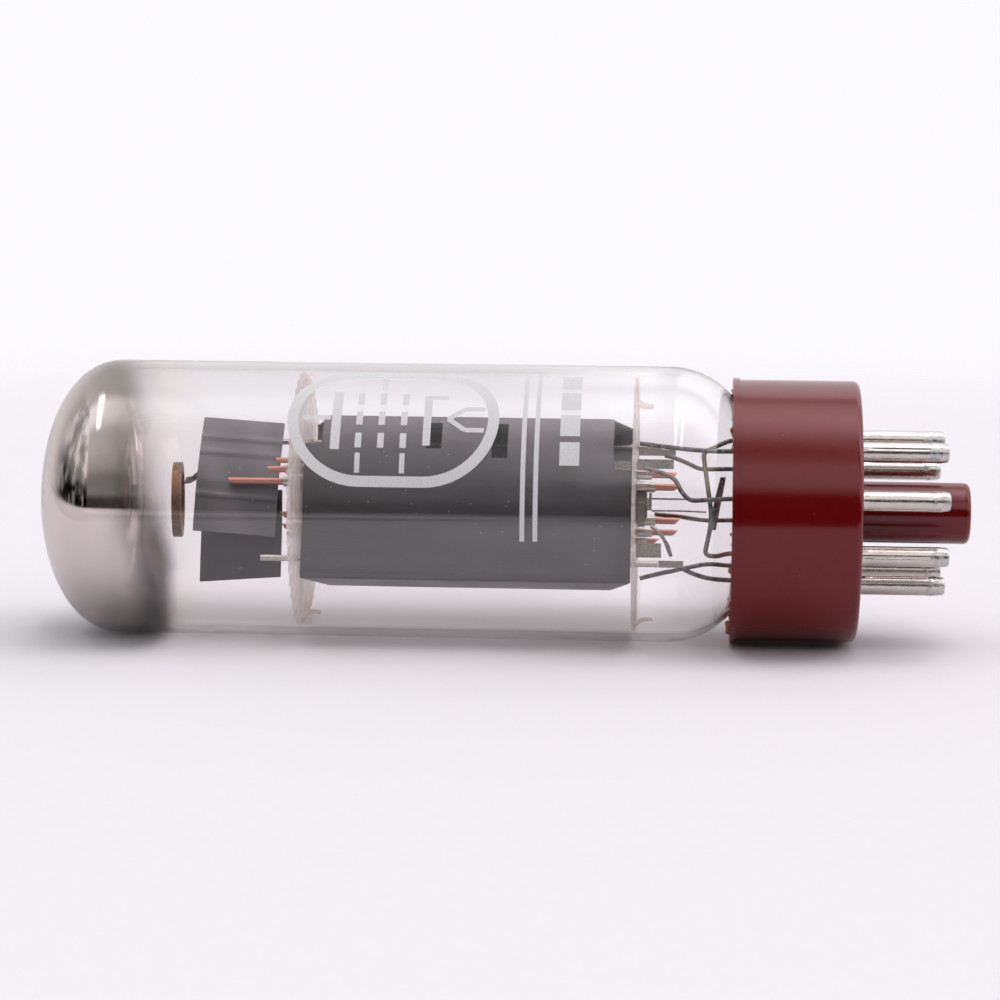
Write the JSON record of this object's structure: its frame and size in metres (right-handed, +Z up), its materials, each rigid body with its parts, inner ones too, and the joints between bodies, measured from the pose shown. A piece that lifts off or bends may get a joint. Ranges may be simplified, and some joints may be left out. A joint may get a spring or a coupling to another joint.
{
  "type": "vacuum tube",
  "caption": "Octal-base glass power pentode lying on its side: clear cylindrical bulb with silvered dome, dark anode box, maroon moulded base with contact pins and keyed spigot.",
  "frame": {"origin": "on the base's axis, in its seating face, which is the face the contact pins leave; also the centre of the pin circle", "axes": "+X along the tube's axis, out of the base towards the pins' ends; +Z up as the tube lies; -Y is the side with the anode's wide fold and the lower front flange"},
  "size_m": [0.1111, 0.033, 0.0329],
  "materials": {
    "clear_glass": "clear, polished",
    "stem_glass": "clear, slightly grey",
    "getter_mirror": "bright evaporated film",
    "maroon_phenolic": "moulded, semi-gloss",
    "brown_cement": "rough, matt",
    "nickel_plate": "nickel plate, handled",
    "solder": "dull cast solder",
    "oxidised_wire": "oxidised",
    "nickel": "satin nickel",
    "cathode_nickel": "coated, matt",
    "heater_coating": "matt white alumina",
    "carbonised_sheet": "matt dark grey",
    "copper_rod": "satin copper",
    "grid_wire": "drawn wire",
    "getter_metal": "heat-tinted",
    "mica_sheet": "translucent, layered"
  },
  "bodies": {
    "root": {"anode_far_half": "carbonised_sheet", "anode_near_half": "carbonised_sheet", "anode_posts": "nickel", "anode_weld_tab": "nickel", "base_cement": "brown_cement", "base_shell": "maroon_phenolic", "bottom_mica": "mica_sheet", "bridge_wire": "nickel", "cathode_collar": "cathode_nickel", "cathode_sleeve": "cathode_nickel", "connector_ribbons": "nickel", "control_grid_rods": "copper_rod", "control_grid_winding": "grid_wire", "cooling_fin_far": "carbonised_sheet", "cooling_fin_near": "carbonised_sheet", "getter_flash": "getter_mirror", "getter_ring": "getter_metal", "getter_strap": "getter_metal", "glass_bulb": "clear_glass", "glass_stem": "stem_glass", "grid_strap": "nickel", "heater": "heater_coating", "heater_leads": "grid_wire", "jumper_ribbon": "nickel", "jumper_wire": "oxidised_wire", "lead_wire_1": "oxidised_wire", "lead_wire_2": "oxidised_wire", "lead_wire_3": "oxidised_wire", "lead_wire_5": "oxidised_wire", "lead_wire_6": "oxidised_wire", "lead_wire_8": "oxidised_wire", "pin_1": "nickel_plate", "pin_2": "nickel_plate", "pin_3": "nickel_plate", "pin_4": "nickel_plate", "pin_5": "nickel_plate", "pin_6": "nickel_plate", "pin_7": "nickel_plate", "pin_8": "nickel_plate", "rod_sleeves": "nickel", "screen_grid_rods": "copper_rod", "screen_grid_winding": "grid_wire", "solder_tips": "solder", "suppressor_grid_rods": "nickel", "suppressor_grid_winding": "grid_wire", "top_mica": "mica_sheet"}
  },
  "joints": []
}
